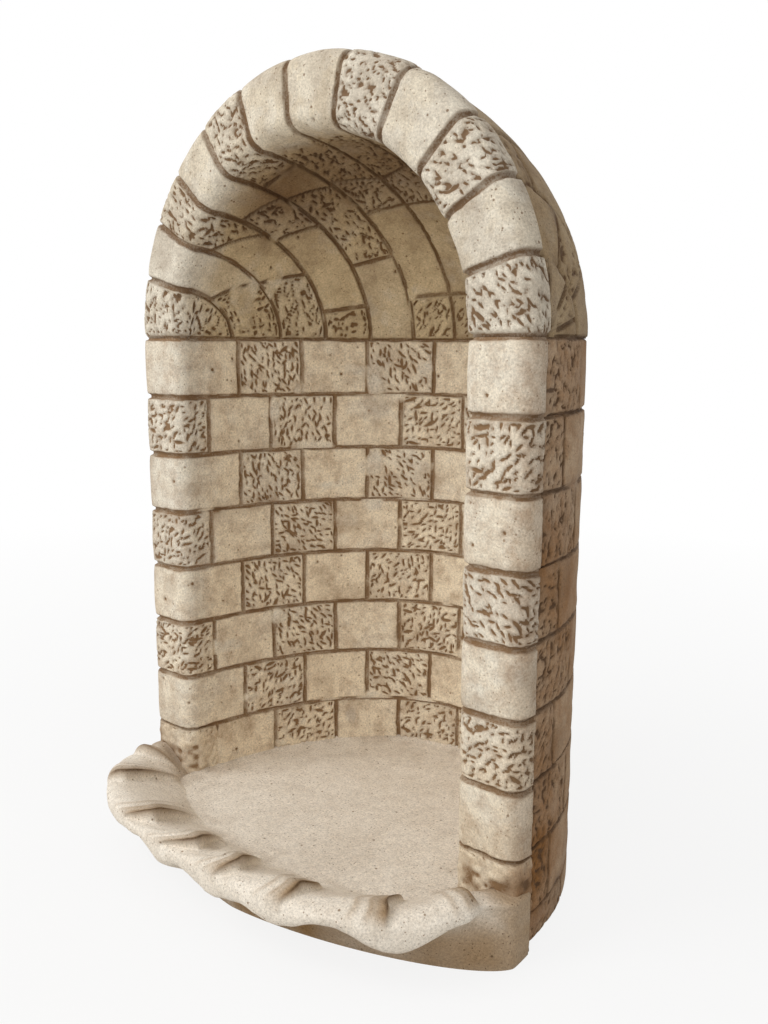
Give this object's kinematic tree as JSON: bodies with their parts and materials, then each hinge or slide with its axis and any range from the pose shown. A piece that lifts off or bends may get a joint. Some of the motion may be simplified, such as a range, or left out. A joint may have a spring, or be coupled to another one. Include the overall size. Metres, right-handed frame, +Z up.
{
  "type": "statue niche",
  "caption": "Round-backed garden niche of cast stone with a half dome, block-jointed piers and arch, and a shell-lipped basin floor to stand a statue on.",
  "frame": {"origin": "on the ground under the centre of the front frame, in the plane of the pier fronts", "axes": "+X to the right seen from the front, +Y into the niche, +Z up"},
  "size_m": [0.6, 0.5203, 0.935],
  "materials": {
    "frame_stone": "cream cast stone, smooth and pecked blocks by turns, brown in the joints",
    "wall_stone": "tan cast stone, smooth and pecked blocks by turns, brown in the joints",
    "vault_stone": "tan cast stone, smooth and pecked blocks by turns, pinholes, brown in the joints",
    "basin_stone": "sandy beige cast stone, matt, worn"
  },
  "bodies": {
    "root": {"arch_stone_01": "frame_stone", "arch_stone_02": "frame_stone", "arch_stone_03": "frame_stone", "arch_stone_04": "frame_stone", "arch_stone_05": "frame_stone", "arch_stone_06": "frame_stone", "arch_stone_07": "frame_stone", "arch_stone_08": "frame_stone", "arch_stone_09": "frame_stone", "arch_stone_10": "frame_stone", "arch_stone_11": "frame_stone", "arch_stone_12": "frame_stone", "dome_gore_1": "vault_stone", "dome_gore_2": "vault_stone", "dome_gore_3": "vault_stone", "dome_gore_4": "vault_stone", "dome_gore_5": "vault_stone", "dome_gore_6": "vault_stone", "dome_gore_7": "vault_stone", "floor_slab": "basin_stone", "left_pier": "frame_stone", "lip_lobe_1": "basin_stone", "lip_lobe_2": "basin_stone", "lip_lobe_3": "basin_stone", "lip_lobe_4": "basin_stone", "lip_lobe_5": "basin_stone", "lip_lobe_6": "basin_stone", "lip_lobe_7": "basin_stone", "lip_lobe_8": "basin_stone", "lip_lobe_9": "basin_stone", "right_pier": "frame_stone", "wall_stave_1": "wall_stone", "wall_stave_2": "wall_stone", "wall_stave_3": "wall_stone", "wall_stave_4": "wall_stone", "wall_stave_5": "wall_stone", "wall_stave_6": "wall_stone", "wall_stave_7": "wall_stone", "wall_stave_8": "wall_stone", "wall_stave_9": "wall_stone"}
  },
  "joints": []
}
